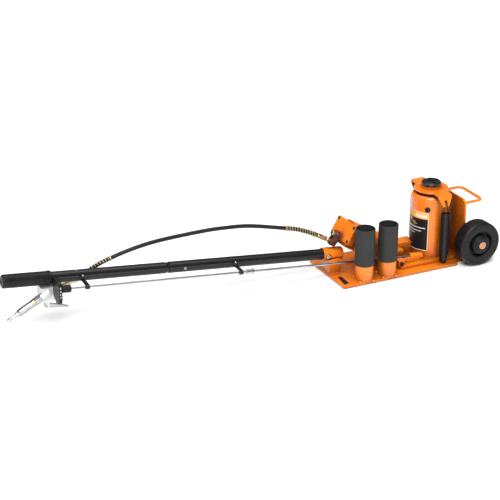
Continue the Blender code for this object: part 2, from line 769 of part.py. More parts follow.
def handle():
    inner = TUBE_RADIUS - TUBE_WALL
    across = Matrix.Rotation(math.radians(90), 4, "Y")
    holes = placed(rod(0.0053, -0.05, 0.05, 16), HANDLE @ at(0, 0, -0.011) @ across)
    window = placed(rod(0.0046, 0, 0.05, 16), HANDLE @ at(0, 0, BUTTON_AT) @ across)
    sleeve = ring(SOCKET_RADIUS, TUBE_RADIUS + GAP, -0.068, 0.003, 32)
    socket = piece("handle_socket", placed(sleeve, HANDLE), ORANGE)
    cut(socket, holes)
    lower = [
        (TUBE_RADIUS, LOWER_START), (TUBE_RADIUS, JOINT_AT - 0.001), (TUBE_RADIUS - 0.001, JOINT_AT),
        (inner, JOINT_AT), (inner, LOWER_START),
    ]
    cut(piece("lower_tube", placed(turned(lower, 32), HANDLE), BLACK_PAINT), holes, window)
    bore = NECK_RADIUS - TUBE_WALL
    upper = [
        (NECK_RADIUS, 0.430), (NECK_RADIUS, JOINT_AT + 0.002), (TUBE_RADIUS, JOINT_AT + 0.011),
        (TUBE_RADIUS, HANDLE_END - 0.005), (inner, HANDLE_END - 0.005), (inner, JOINT_AT + 0.013),
        (bore, JOINT_AT),
        (bore, 0.430),
    ]
    cut(piece("upper_tube", placed(turned(upper, 32), HANDLE), BLACK_PAINT), window)
    button = [
        (0, 0.0085), (0.0043, 0.0085), (0.0043, 0.0195), (0.0034, 0.0212), (0.0018, 0.0220), (0, 0.0222),
    ]
    spot = HANDLE @ at(0, 0, BUTTON_AT) @ Matrix.Rotation(math.radians(90), 4, "Y")
    piece("snap_button", placed(turned(button, 16), spot), STEEL, HANDLE @ Vector((0, 0, BUTTON_AT)))

    sleeve = [
        (TUBE_RADIUS + GAP, GRIP_START), (GRIP_RADIUS, GRIP_START),
        (GRIP_RADIUS + 0.0012, GRIP_START + 0.002),
        (GRIP_RADIUS + 0.0012, GRIP_START + 0.008), (GRIP_RADIUS, GRIP_START + 0.010),
        (GRIP_RADIUS, HANDLE_END - 0.004), (GRIP_RADIUS - 0.004, HANDLE_END), (0, HANDLE_END),
        (0, HANDLE_END - 0.003), (TUBE_RADIUS + GAP, HANDLE_END - 0.003),
    ]
    piece("grip", placed(turned(sleeve), HANDLE), RUBBER)

    bolt = [
        (0, -0.0295), (0.0085, -0.0295), (0.0085, -0.0223), (0.005, -0.0223), (0.005, 0.0223),
        (0.008, 0.0223), (0.008, 0.0265), (0.0062, 0.0278), (0, 0.0278),
    ]
    through = HANDLE @ at(0, 0, -0.011) @ Matrix.Rotation(math.radians(90), 4, "Y")
    piece("socket_bolt", placed(turned(bolt, 18), through), STEEL)
    foot = PLATE + GAP
    support = rounded([
        (-0.028, foot, 0), (0.028, foot, 0), (0.0285, 0.058, 0.003), (-0.0285, 0.058, 0.003),
    ], 2)
    along = Matrix(((0, 0, 1, 0), (1, 0, 0, 0.015), (0, 1, 0, 0), (0, 0, 0, 1)))
    cradle = piece("socket_bracket", placed(prism(support, -0.384, -0.344), along), ORANGE)
    cut(cradle, placed(rod(SOCKET_RADIUS + GAP, -0.2, 0.1, 32), HANDLE))

    for name, t in zip(("rod_clip_jack_end", "rod_clip_grip_end"), CLIPS_AT):
        reach = (ROD_AT[0] - (HANDLE @ Vector((0, 0, t))).x) / math.cos(ROD_SLOPE)
        held = HANDLE.inverted() @ (ROD @ Vector((0, 0, reach)))
        x, y = held.x, held.y
        hook = [
            (0.0202, 0.011), (0.0202, 0.001), (0.0225, -0.0035), (0.030, y + 0.0066),
            (x - 0.006, y + 0.0064),
            (x + 0.0025, y + 0.006), (x + 0.006, y + 0.0035), (x + 0.007, y), (x + 0.0055, y - 0.004),
            (x + 0.0020, y - 0.0066),
        ]
        piece(name, placed(prism(strap(hook, 0.0024), t - 0.007, t + 0.007), HANDLE), BLACK_PAINT)


# Release control


def release():
    shaft = [
        (0, ROD_START), (ROD_RADIUS, ROD_START), (ROD_RADIUS, 0.003), (0.007, 0.004), (0.007, 0.014),
        (ROD_RADIUS, 0.015), (ROD_RADIUS, COUPLING_AT - 0.013), (0.0085, COUPLING_AT - 0.013),
        (0.0085, COUPLING_AT - 0.006), (0.0066, COUPLING_AT - 0.004), (0.0066, COUPLING_AT + 0.004),
        (0.0085, COUPLING_AT + 0.006), (0.0085, COUPLING_AT + 0.013), (ROD_RADIUS, COUPLING_AT + 0.013),
        (ROD_RADIUS, ROD_END), (0, ROD_END),
    ]
    piece("release_rod", placed(turned(shaft, 16), ROD), STEEL, ROD_AT)
    start = ROD_END + GAP
    knob = [
        (0, start), (0.0105, start), (0.012, start + 0.0015), (0.012, start + KNOB_LENGTH - 0.002),
        (0.010, start + KNOB_LENGTH), (0, start + KNOB_LENGTH),
    ]
    piece("release_knob", placed(turned(knob, 20), ROD), RUBBER, ROD_AT)


# Air valve


def valve():
    front = -0.004
    outline = rounded([
        (front, 0.182, 0.004), (-0.054, 0.184, 0.008), (BRACKET_NEAR, 0.170, 0.006),
        (BRACKET_NEAR, 0.136, 0.010),
        (-0.056, 0.113, 0.010), (-0.032, 0.111, 0.010), (-0.012, 0.118, 0.010), (front, 0.134, 0.006),
    ], 3)
    stand = Matrix(((0, 0, 1), (1, 0, 0), (0, 1, 0))).to_4x4()
    plate = prism(outline, BRACKET_X, BRACKET_X + BRACKET_THICK)
    bracket = piece("valve_bracket", placed(plate, stand), DARK_ZINC)
    screw = turned([(0, -0.001), (0.0026, -0.001), (0.0022, 0.0014), (0, 0.0018)], 10)
    for z in (0.168, 0.157, 0.148, 0.139):
        join(bracket, placed(screw, at(BRACKET_X + BRACKET_THICK / 2, BRACKET_NEAR, z) @ TO_NEAR))

    body = piece("valve_body", block((-1.352, front + GAP, 0.105), (-1.302, 0.042, 0.1495)), ALUMINIUM)
    boss = placed(rod(0.0135, -0.030, 0.010, 24), COUPLER)
    cheeks = [block((-1.346, front + GAP, 0.084), (-1.330, VALVE_Y - 0.0045, 0.106))]
    cheeks.append(block((-1.346, VALVE_Y + 0.0045, 0.084), (-1.330, VALVE_Y + 0.0080, 0.106)))
    join(body, boss, *cheeks)
    pivot_line = at(*PIVOT) @ TO_NEAR
    cut(body, placed(block((-0.05, -0.05, -GAP), (0.05, 0.05, 0.05)), COUPLER))
    cut(body, placed(rod(0.0028, -0.02, 0.02, 16), pivot_line))
    cut(body, placed(rod(0.0033, 0.09, 0.128, 16), at(STEM_X, VALVE_Y, 0)))
    piece("lever_pin", placed(rod(0.0025, -0.0098, 0.0078, 16), pivot_line), STEEL)

    tip = Vector((LEVER_TIP[0] - PIVOT[0], LEVER_TIP[2] - PIVOT[2]))
    fall = math.atan2(tip.y, tip.x)
    outline = []
    for centre, radius, start, end in (((0, 0), 0.0078, 90, 270), (tuple(tip), 0.0016, -90, 90)):
        for k in range(7):
            turn = math.radians(start + (end - start) * k / 6) + fall
            outline.append((centre[0] + radius * math.cos(turn), centre[1] + radius * math.sin(turn)))
    arm = placed(prism(outline, -0.004, 0.004), at(*PIVOT) @ TO_NEAR)
    lever = piece("throttle_lever", arm, ALUMINIUM, PIVOT)
    cut(lever, placed(rod(0.0026, -0.02, 0.02, 16), pivot_line))
    stem = [(0, 0.0905), (0.0022, 0.0905), (0.003, 0.0915), (0.003, 0.120), (0, 0.120)]
    piece("valve_stem", placed(turned(stem, 16), at(STEM_X, VALVE_Y, 0)), BRASS, (STEM_X, VALVE_Y, 0.105))

    nut = [(0, 0), (0.0135, 0), (0.015, 0.002), (0.015, 0.020), (0.0135, 0.022), (0, 0.022)]
    piece("inlet_collar", placed(turned(nut, 6), COUPLER), ALUMINIUM)
    piece("brass_ring", placed(rod(0.0132, 0.022 + GAP, 0.026, 24), COUPLER), BRASS)
    sleeve = [
        (0, 0.026 + GAP), (0.0115, 0.026 + GAP), (0.0115, 0.074), (0.0100, 0.082), (0, 0.082),
    ]
    piece("coupler_body", placed(turned(sleeve, 28), COUPLER), ALUMINIUM)
    nipple = [
        (0, 0.082 + GAP), (0.008, 0.082 + GAP), (0.008, 0.090), (0.006, 0.092), (0.006, 0.102),
        (0.0045, 0.104),
        (0.0045, 0.110), (0.006, 0.112), (0.0052, 0.120), (0, 0.120),
    ]
    piece("plug_nipple", placed(turned(nipple, 20), COUPLER), STEEL)


# Air hose


def hose():
    path = smooth_path(HOSE_ROUTE, HOSE_POINTS)
    bent_bar("hose", path, HOSE_RADIUS, RUBBER, 2)
    for name, line in (("hose_guard_motor", path), ("hose_guard_valve", path[::-1])):
        first = line[0].lerp(line[1], 0.05)
        last = line[GUARD_SPANS].lerp(line[GUARD_SPANS + 1], 0.6)
        wound = [first, *line[1 : GUARD_SPANS + 1], last]
        piece(name, swept_ring(wound, GUARD_OUTER, GUARD_INNER), YELLOW_ZINC)

    for name, start, end in (
        ("hose_fitting_motor", MOTOR @ Vector((-0.006, -0.050, 0.0284)), path[0]),
        ("hose_fitting_valve", Vector((-1.3000, 0.031, 0.128)), path[-1]),
    ):
        along = end - start
        face = Matrix.Translation(start) @ along.to_track_quat("Z", "Y").to_matrix().to_4x4()
        length = along.length - 5 * GAP
        fitting = [
            (0, 0), (0.0062, 0), (0.0062, 0.008), (0.0048, 0.010), (0.0048, 0.012), (0.008, 0.013),
            (0.008, length - 0.001), (0.0072, length), (0, length),
        ]
        piece(name, placed(turned(fitting, 20), face), YELLOW_ZINC)


for existing in list(bpy.data.objects):
    bpy.data.objects.remove(existing)
chassis()
wheel("near_wheel", -1)
wheel("far_wheel", 1)
casting()
tank()
ram()
saddle()
springs()
adapters()
motor()
handle()
release()
valve()
hose()
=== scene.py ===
# %% [markdown]
# A wheeled air-hydraulic bottle jack is mostly painted steel, with rubber, zinc and a long hose.
# Its plates, tubes and castings come ready made from the engineering model, so this script only adds the
# looks: rounded edges, wound springs, a hose with wire guards, and a finish for every piece.

# %% Load the frame
import json
import math

import bmesh
import bpy
from mathutils import Matrix, Vector


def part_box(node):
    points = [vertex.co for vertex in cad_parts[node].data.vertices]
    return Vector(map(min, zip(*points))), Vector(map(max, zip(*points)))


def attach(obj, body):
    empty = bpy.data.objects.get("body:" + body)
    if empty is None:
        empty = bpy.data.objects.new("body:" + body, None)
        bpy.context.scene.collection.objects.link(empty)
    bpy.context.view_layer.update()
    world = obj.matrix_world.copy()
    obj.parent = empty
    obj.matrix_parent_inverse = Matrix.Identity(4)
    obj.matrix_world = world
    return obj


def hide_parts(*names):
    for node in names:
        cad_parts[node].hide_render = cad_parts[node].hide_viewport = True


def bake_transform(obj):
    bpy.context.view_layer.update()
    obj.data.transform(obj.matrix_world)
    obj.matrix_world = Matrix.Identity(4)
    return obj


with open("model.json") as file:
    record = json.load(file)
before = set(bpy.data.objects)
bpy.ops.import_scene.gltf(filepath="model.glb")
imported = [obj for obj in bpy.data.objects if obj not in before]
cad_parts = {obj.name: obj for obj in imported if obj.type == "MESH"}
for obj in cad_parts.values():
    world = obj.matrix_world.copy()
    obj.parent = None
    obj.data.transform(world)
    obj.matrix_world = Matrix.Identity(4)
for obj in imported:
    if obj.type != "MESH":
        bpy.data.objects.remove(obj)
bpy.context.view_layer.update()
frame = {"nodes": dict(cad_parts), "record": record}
nodes = frame["nodes"]
body_of_node = {n: b for b, names in frame["record"]["behaviour"]["bodies"].items() for n in names}

# %% [markdown]
# The camera looks along the jack from above its handle end. A long lens keeps the bar handle from
# looking wider at its near end than it is.

# %% Camera
eye = Vector((-2.5115, -3.8545, 2.0382))
looking = Vector((0.395, 0.824, -0.405))
lens = bpy.data.cameras.new("camera")
lens.lens = 106.69
lens.sensor_width = 36
camera = bpy.data.objects.new("camera", lens)
camera.location = eye
camera.rotation_euler = looking.to_track_quat("-Z", "Y").to_euler()
bpy.context.scene.collection.objects.link(camera)
bpy.context.scene.camera = camera
print("camera", round(eye.length, 2), "m from the ram")

# %% [markdown]
# The hose is a fixed length of stiff rubber that springs up in a low arch between the air motor and the
# valve. A smooth curve through a few chosen points gives its line, as a draughtsman's spline would.

# %% Route of the hose
HOSE_ROUTE = (
    (-0.4150, 0.0210, 0.1414),
    (-0.4720, 0.0235, 0.1676),
    (-0.5330, 0.0270, 0.1845),
    (-0.6510, 0.0310, 0.2118),
    (-0.7370, 0.0340, 0.2200),
    (-0.8210, 0.0370, 0.2211),
    (-0.9540, 0.0410, 0.2152),
    (-1.0360, 0.0430, 0.2041),
    (-1.1120, 0.0460, 0.1850),
    (-1.1700, 0.0460, 0.1650),
    (-1.2050, 0.0440, 0.1465),
    (-1.2240, 0.0400, 0.1395),
)
HOSE_RADIUS = 0.0065


def smooth_path(points, count):
    """Evenly spaced points on a smooth curve through the given ones."""
    knots = [Vector(p) for p in points]
    ends = [2 * knots[0] - knots[1]] + knots + [2 * knots[-1] - knots[-2]]
    fine = []
    for k in range(1, len(ends) - 2):
        p0, p1, p2, p3 = ends[k - 1 : k + 3]
        for step in range(20):
            t = step / 20
            cubic = 3 * p1 - p0 - 3 * p2 + p3
            square = 2 * p0 - 5 * p1 + 4 * p2 - p3
            fine.append(0.5 * (2 * p1 + (p2 - p0) * t + square * t * t + cubic * t**3))
    fine.append(knots[-1])
    return evenly(fine, count)


def evenly(line, count):
    """The same line as points a constant distance apart."""
    lengths = [0.0]
    for a, b in zip(line, line[1:]):
        lengths.append(lengths[-1] + (b - a).length)
    even = []
    segment = 0
    for k in range(count):
        wanted = lengths[-1] * k / (count - 1)
        while segment < len(line) - 2 and lengths[segment + 1] < wanted:
            segment += 1
        share = (wanted - lengths[segment]) / (lengths[segment + 1] - lengths[segment])
        even.append(line[segment].lerp(line[segment + 1], share))
    return even


def length_of(line):
    return sum((b - a).length for a, b in zip(line, line[1:]))


HOSE_POINTS = 120
hose_line = smooth_path(HOSE_ROUTE, HOSE_POINTS)
hose_length = length_of(hose_line)
print("hose", round(hose_length, 3), "m long")

# %% [markdown]
# Shader maths reads best as ordinary sums. This small class wraps one output of a node, so that adding or
# multiplying two of them makes the Math node that does it.


# %% Shader expressions
class Wire:
    """One value in a material's node tree, for use in Python expressions."""

    def __init__(self, graph, socket):
        self.graph = graph
        self.socket = socket

    def maths(self, operation, *values):
        return self.graph.node("ShaderNodeMath", {"operation": operation}, dict(enumerate(values)))

    def __add__(self, other):
        return self.maths("ADD", self, other)

    def __sub__(self, other):
        return self.maths("SUBTRACT", self, other)

    def __rsub__(self, other):
        return self.maths("SUBTRACT", other, self)

    def __mul__(self, other):
        return self.maths("MULTIPLY", self, other)

    def __truediv__(self, other):
        return self.maths("DIVIDE", self, other)

    def __gt__(self, other):
        return self.maths("GREATER_THAN", self, other)

    def __lt__(self, other):
        return self.maths("LESS_THAN", self, other)

    __radd__ = __add__
    __rmul__ = __mul__


class Graph:
    """A material's node tree, with one way to add any node."""

    def __init__(self, name):
        self.material = bpy.data.materials.new(name)
        self.material.use_nodes = True
        self.tree = self.material.node_tree
        self.shader = self.tree.nodes["Principled BSDF"]

    def node(self, kind, settings=None, values=None, output=0):
        made = self.tree.nodes.new(kind)
        for key, value in (settings or {}).items():
            if key == "stops":
                ramp = made.color_ramp.elements
                while len(ramp) < len(value):
                    ramp.new(0.5)
                for element, (place, colour) in zip(ramp, value):
                    element.position = place
                    element.color = (*colour, 1)
            else:
                setattr(made, key, value)
        for key, value in (values or {}).items():
            self.put(made.inputs[key], value)
        return Wire(self, made.outputs[output])

    def put(self, socket, value):
        if isinstance(value, Wire):
            self.tree.links.new(value.socket, socket)
        elif isinstance(value, tuple) and len(value) == 3 and socket.type == "RGBA":
            socket.default_value = (*value, 1)
        else:
            socket.default_value = value

    def place(self):
        """Where a point is at rest, in metres."""
        return self.node("ShaderNodeTexCoord", output="Object")

    def split(self, vector):
        made = self.tree.nodes.new("ShaderNodeSeparateXYZ")
        self.put(made.inputs[0], vector)
        return [Wire(self, made.outputs[k]) for k in range(3)]

    def noise(self, scale, detail=3.0, roughness=0.5, stretch=(1, 1, 1)):
        """Soft random blotches from 0 to 1, with this many to a metre."""
        spread = self.node("ShaderNodeMapping", {}, {"Vector": self.place(), "Scale": stretch})
        values = {"Vector": spread, "Scale": scale, "Detail": detail, "Roughness": roughness}
        return self.node("ShaderNodeTexNoise", {}, values)

    def ramp(self, value, *stops):
        return self.node("ShaderNodeValToRGB", {"stops": stops}, {0: value})

    def blend(self, share, first, second, how="MIX"):
        values = {"Factor": share, "A": first, "B": second}
        mixer = self.tree.nodes.new("ShaderNodeMix")
        mixer.data_type = "RGBA"
        mixer.blend_type = how
        for socket in mixer.inputs:
            if socket.name in values and socket.type == ("VALUE" if socket.name == "Factor" else "RGBA"):
                self.put(socket, values[socket.name])
        return Wire(self, next(o for o in mixer.outputs if o.type == "RGBA"))

    def bump(self, height, depth, strength=1.0):
        """Relief this many metres deep where height goes from 0 to 1."""
        values = {"Height": height, "Distance": depth, "Strength": strength}
        self.put(self.shader.inputs["Normal"], self.node("ShaderNodeBump", {}, values))

    def set(self, **values):
        for key, value in values.items():
            name = key.replace("_", " ")
            self.put(next(i for i in self.shader.inputs if i.name.lower() == name), value)
        return self.material


def grey(value):
    return (value, value, value)


print("Wire and Graph are ready")

# %% [markdown]
# The orange is a thick gloss enamel. It flows a little before it dries, which leaves a faint orange peel,
# and workshop dirt dulls it in soft patches. A clear coat gives the hard, white reflections. In nooks and
# between parts the colour is darkened towards brown as painted shade.


# %% Orange enamel
def orange_enamel():
    g = Graph("orange_enamel")
    cloud = g.noise(9, 4, 0.55)
    dirt = g.noise(60, 5, 0.65)
    fresh = (0.84, 0.205, 0.007)
    deep = (0.72, 0.150, 0.004)
    colour = g.blend(g.ramp(cloud, (0.35, grey(0)), (0.75, grey(1))), fresh, deep)
    colour = g.blend(g.ramp(dirt, (0.62, grey(0)), (0.80, grey(0.35))), colour, (0.36, 0.10, 0.02))
    # Painted shade: the colour turns deep brown where close parts hem a point in, as found by ambient
    # occlusion.
    painted_nook_shade = g.node("ShaderNodeAmbientOcclusion", {"samples": 8}, {"Distance": 0.075}, output=1)
    colour = g.blend(g.ramp(painted_nook_shade, (0.30, grey(1)), (0.88, grey(0))), colour, (0.20, 0.046, 0.004))
    peel = g.noise(420, 2, 0.5)
    g.bump(peel, 0.00010, 0.5)
    return g.set(
        base_color=colour,
        roughness=0.20 + 0.16 * dirt,
        coat_weight=0.45,
        coat_roughness=0.08,
        specular_ior_level=0.35,
    )


ORANGE = orange_enamel()
print(ORANGE.name)

# %% [markdown]
# The bar handle, the springs and the adapter tubes wear a thin black paint, each with its own gloss.
# A fine grain in it breaks up the reflections.


# %% Black paints
def black_paint(name, roughness, shade, gloss=0.3):
    g = Graph(name)
    cloud = g.noise(14, 4, 0.6)
    fine = g.noise(520, 2, 0.5)
    colour = g.blend(cloud, grey(shade), grey(shade * 1.7))
    g.bump(fine, 0.00004, 0.45)
    return g.set(base_color=colour, roughness=roughness + 0.14 * cloud, specular_ior_level=gloss)


BLACK_GLOSS = black_paint("black_tube_paint", 0.20, 0.006, 0.30)
BLACK_SATIN = black_paint("black_spring_paint", 0.26, 0.007, 0.28)
BLACK_ADAPTER = black_paint("black_adapter_paint", 0.36, 0.022, 0.15)
BLACK_HEAD = black_paint("black_saddle_paint", 0.14, 0.008, 0.6)
print(BLACK_GLOSS.name, BLACK_SATIN.name, BLACK_ADAPTER.name, BLACK_HEAD.name)

# %% [markdown]
# Moulded rubber is a dark warm grey, never quite black, with a dusty bloom. Its surface is matt and
# slightly pebbled from the mould.


# %% Rubbers
def rubber(name, shade, roughness, pebbles=700):
    g = Graph(name)
    bloom = g.noise(22, 5, 0.6)
    grain = g.noise(pebbles, 2, 0.6)
    dusty = g.ramp(bloom, (0.4, grey(0)), (0.8, grey(1)))
    colour = g.blend(dusty, (shade, shade, shade * 1.05), grey(shade * 2.0))
    g.bump(grain, 0.00015, 0.4)
    return g.set(base_color=colour, roughness=roughness + 0.12 * bloom, specular_ior_level=0.22)


WHEEL_RUBBER = rubber("wheel_rubber", 0.006, 0.34)
HOSE_RUBBER = rubber("hose_rubber", 0.008, 0.30, 900)
PLASTIC = rubber("moulded_plastic", 0.008, 0.30, 1200)
GRIP = rubber("grip_rubber", 0.007, 0.30, 1500)
print(WHEEL_RUBBER.name, HOSE_RUBBER.name, PLASTIC.name, GRIP.name)

# %% [markdown]
# The bare metals differ by their plating: bright zinc on the rod and bolts, a yellow passivated zinc on
# the hose ends, a dark brown one on the elbow, machined aluminium on the valve, and brass.


# %% Metals
def metal(name, first, second, roughness, stretch=(1, 1, 1), scale=60, depth=0.00005):
    g = Graph(name)
    cloud = g.noise(scale, 4, 0.55, stretch)
    scratch = g.noise(scale * 12, 3, 0.6, stretch)
    g.bump(scratch, depth, 0.5)
    return g.set(
        base_color=g.blend(g.ramp(cloud, (0.3, grey(0)), (0.7, grey(1))), first, second),
        roughness=roughness + 0.14 * scratch,
        metallic=1.0,
    )


BRIGHT_ZINC = metal("bright_zinc", (0.56, 0.57, 0.60), (0.36, 0.37, 0.40), 0.16, (0.2, 1, 1))
ALUMINIUM = metal("machined_aluminium", (0.50, 0.50, 0.51), (0.34, 0.34, 0.35), 0.22)
BRASS = metal("turned_brass", (0.78, 0.55, 0.22), (0.62, 0.40, 0.14), 0.22)
YELLOW_ZINC = metal("yellow_zinc", (0.66, 0.58, 0.33), (0.46, 0.36, 0.18), 0.24, scale=110)
DARK_ZINC = metal("dark_zinc", (0.24, 0.12, 0.105), (0.11, 0.052, 0.046), 0.30, scale=70)
GROUND_STEEL = metal("ground_steel", (0.72, 0.72, 0.73), (0.60, 0.60, 0.61), 0.12, (1, 1, 0.1))


def cast_aluminium():
    """The die-cast valve body, brighter and more even than the turned pieces."""
    g = Graph("cast_aluminium")
    grain = g.noise(500, 3, 0.6)
    cloud = g.noise(30, 4, 0.5)
    g.bump(grain, 0.00012, 0.4)
    colour = g.blend(cloud, (0.66, 0.66, 0.66), (0.52, 0.52, 0.53))
    return g.set(base_color=colour, roughness=0.36 + 0.12 * grain, metallic=0.6)


CAST_ALUMINIUM = cast_aluminium()
print("metals ready")

# %% [markdown]
# The label is printed film: a black field under an amber heading, edged in white. Real ones carry
# writing, and here plain bars stand where the lines of writing would be.

# %% Label
label_low, label_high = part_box("reservoir_label")
label_foot = label_low.z
label_tall = label_high.z - label_foot
LABEL_START = 35.3
LABEL_WRAP = 104.0
# Lines of writing: middle, half height, start, end, and tone.
LINES = (
    (0.585, 0.013, 0.085, 0.71, 0.70), (0.500, 0.012, 0.20, 0.67, 0.60), (0.430, 0.011, 0.40, 0.71, 0.45),
    (0.130, 0.006, 0.46, 0.68, 0.20), (0.300, 0.005, 0.64, 0.72, 0.20),
)
BADGES = ((0.765, 0.040, 0.56, 0.66), (0.715, 0.010, 0.40, 0.52), (0.670, 0.008, 0.34, 0.50))


def printed_label():
    g = Graph("printed_label")
    x, y, z = g.split(g.place())
    up = (z - label_foot) / label_tall
    turn = x.maths("ARCTAN2", x * -1, y * -1) * (180 / math.pi)
    round_share = (turn - LABEL_START) / LABEL_WRAP

    def within(value, low, high):
        return (value > low) * (value < high)

    edge = 1 - within(up, 0.012, 0.988) * within(round_share, 0.012, 0.988)
    seam = within(round_share, 0.745, 0.768)
    heading = within(up, 0.825, 0.985) * within(round_share, 0.015, 0.745)
    colour = g.blend(heading, (0.011, 0.010, 0.0105), (0.82, 0.40, 0.07))
    for level, half, start, end, tone in LINES:
        dashes = (turn * 1.35).maths("FRACT", turn * 1.35) < 0.82
        bar = within(up, level - half, level + half) * within(round_share, start, end) * dashes
        colour = g.blend(bar, colour, grey(tone))
    band = within(up, 0.860, 0.940) * within(round_share, 0.05, 0.41)
    colour = g.blend(band, colour, (0.76, 0.66, 0.46))
    for level, half, start, end in BADGES:
        badge = within(up, level - half, level + half) * within(round_share, start, end)
        colour = g.blend(badge, colour, (0.62, 0.33, 0.05))
    line = edge.maths("MAXIMUM", edge, seam)
    colour = g.blend(line, colour, grey(0.80))
    return g.set(base_color=colour, roughness=0.36, specular_ior_level=0.12)


LABEL = printed_label()
print(LABEL.name)

# %% [markdown]
# Two small helpers do most of the modelling: one turns a profile on a lathe, and one sweeps a round wire
# along a line. Both return mesh objects with smooth shading and crisp edges.


# %% Modelling helpers
def shaded(name, points, faces, finish, angle=35):
    mesh = bpy.data.meshes.new(name)
    mesh.from_pydata([tuple(p) for p in points], [], faces)
    work = bmesh.new()
    work.from_mesh(mesh)
    bmesh.ops.recalc_face_normals(work, faces=work.faces)
    work.to_mesh(mesh)
    work.free()
    mesh.shade_smooth()
    mesh.set_sharp_from_angle(angle=math.radians(angle))
    made = bpy.data.objects.new(name, mesh)
    mesh.materials.append(finish)
    bpy.context.scene.collection.objects.link(made)
    return made


def turned(name, profile, place, finish, segments=96):
    """Spins a profile of (radius, height) about the Z axis of a placing matrix."""
    points = []
    faces = []
    rows = []
    for radius, height in profile:
        row = []
        for k in range(segments if radius else 1):
            angle = 2 * math.pi * k / segments
            row.append(len(points))
            points.append(place @ Vector((radius * math.cos(angle), radius * math.sin(angle), height)))
        rows.append(row * (1 if radius else segments))
    closed = rows[1:] if profile[0][0] == 0 else rows[1:] + rows[:1]
    for low, high in zip(rows, closed):
        for k in range(segments):
            n = (k + 1) % segments
            face = list(dict.fromkeys((low[k], low[n], high[n], high[k])))
            if len(face) > 2:
                faces.append(face)
    return shaded(name, points, faces, finish)


def swept(name, line, radius, finish, sides=8):
    """A round wire along a line. The radius may change along it, as a function of the share from 0 to 1."""
    points = []
    faces = []
    side = Vector((0, 1, 0.01))
    last = len(line) - 1
    for k, point in enumerate(line):
        along = (line[min(k + 1, last)] - line[max(k - 1, 0)]).normalized()
        side = (side - along * side.dot(along)).normalized()
        rise = along.cross(side)
        wide = radius(k / last) if callable(radius) else radius
        for n in range(sides):
            angle = 2 * math.pi * n / sides
            points.append(point + (side * math.cos(angle) + rise * math.sin(angle)) * wide)
    for k in range(last):
        for n in range(sides):
            m = (n + 1) % sides
            faces.append([sides * k + n, sides * k + m, sides * (k + 1) + m, sides * (k + 1) + n])
    faces.append(list(range(sides)))
    faces.append(list(range(sides * last, sides * last + sides)))
    return shaded(name, points, faces, finish, 60)


def along_y(x, z, side):
    """Places a turned piece on a line across the jack, facing outwards on the near or far side."""
    return Matrix.Translation((x, 0, z)) @ Matrix.Rotation(math.radians(-90 * side), 4, "X")


print("helpers ready")

# %% [markdown]
# Steel plate never has a razor edge: shears and paint leave a radius of about a millimetre that catches
# the light. Each painted piece is a copy of its solid, with its flat faces merged and its edges beveled.


# %% Beveled copies
def eased(node, width, finish, segments=2, angle=38):
    source = nodes[node]
    work = bmesh.new()
    work.from_mesh(source.data)
    bmesh.ops.remove_doubles(work, verts=work.verts, dist=1e-6)
    bmesh.ops.dissolve_limit(work, angle_limit=math.radians(0.6), verts=work.verts, edges=work.edges)
    mesh = bpy.data.meshes.new(node + "_finished")
    work.to_mesh(mesh)
    work.free()
    mesh.shade_smooth()
    made = bpy.data.objects.new(node + "_finished", mesh)
    mesh.materials.append(finish)
    bpy.context.scene.collection.objects.link(made)
    bevel = made.modifiers.new("edge", "BEVEL")
    bevel.width = width
    bevel.segments = segments
    bevel.limit_method = "ANGLE"
    bevel.angle_limit = math.radians(angle)
    bevel.use_clamp_overlap = True
    bevel.harden_normals = False
    weighted = made.modifiers.new("shading", "WEIGHTED_NORMAL")
    weighted.keep_sharp = True
    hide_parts(node)
    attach(made, body_of_node[node])
    return made


EDGES = {
    "base_plate": 0.0011, "back_plate": 0.0011, "axle_bracket": 0.0008, "handle_socket": 0.0007,
    "socket_bracket": 0.0012, "peg_long": 0.0006, "peg_short": 0.0006, "jack_base": 0.0018,
    "top_cap": 0.0006, "motor_housing": 0.0012, "motor_end_plate": 0.0010, "yoke": 0.0009,
}
for node, width in EDGES.items():
    eased(node, width, ORANGE)
print(len(EDGES), "painted pieces with eased edges")

# %% [markdown]
# Every other piece of the model keeps its own mesh and takes its finish here, by name.

# %% Finishes of the pieces that keep their shape
FINISHES = {
    "carry_handle": ORANGE, "axle": ORANGE, "reservoir": ORANGE, "saddle": BLACK_HEAD,
    "reservoir_label": LABEL, "ram": GROUND_STEEL, "pressure_cylinder": GROUND_STEEL,
    "adapter_long": BLACK_ADAPTER, "adapter_short": BLACK_ADAPTER, "lower_tube": BLACK_GLOSS,
    "upper_tube": BLACK_GLOSS, "rod_clip_jack_end": BLACK_GLOSS, "rod_clip_grip_end": BLACK_GLOSS,
    "base_plug": BLACK_SATIN, "filler_plug": PLASTIC, "release_knob": PLASTIC, "grip": GRIP,
    "near_wheel_tyre": WHEEL_RUBBER, "far_wheel_tyre": WHEEL_RUBBER, "near_wheel_hub": PLASTIC,
    "far_wheel_hub": PLASTIC, "hose": HOSE_RUBBER, "spring_near": BLACK_SATIN, "spring_far": BLACK_SATIN,
    "socket_bolt": BRIGHT_ZINC, "release_rod": BRIGHT_ZINC, "snap_button": BRIGHT_ZINC,
    "lever_pin": BRIGHT_ZINC, "plug_nipple": BRIGHT_ZINC, "inlet_collar": ALUMINIUM,
    "coupler_body": ALUMINIUM, "throttle_lever": ALUMINIUM, "air_piston": ALUMINIUM,
    "valve_body": CAST_ALUMINIUM, "brass_ring": BRASS, "valve_stem": BRASS,
    "hose_fitting_motor": YELLOW_ZINC, "hose_fitting_valve": YELLOW_ZINC, "hose_guard_motor": YELLOW_ZINC,
    "hose_guard_valve": YELLOW_ZINC, "banjo_bolt": YELLOW_ZINC, "inlet_elbow": DARK_ZINC,
    "valve_bracket": BLACK_SATIN,
}
for k in range(1, 5):
    FINISHES["end_plate_screw_%d" % k] = BLACK_SATIN
for node, finish in FINISHES.items():
    mesh = nodes[node].data
    mesh.materials.clear()
    mesh.materials.append(finish)
left = sorted(set(nodes) - set(FINISHES) - set(EDGES))
print("pieces without a finish:", left)

# %% [markdown]
# Small castings and machined blocks get the same eased edges, with a finer radius.

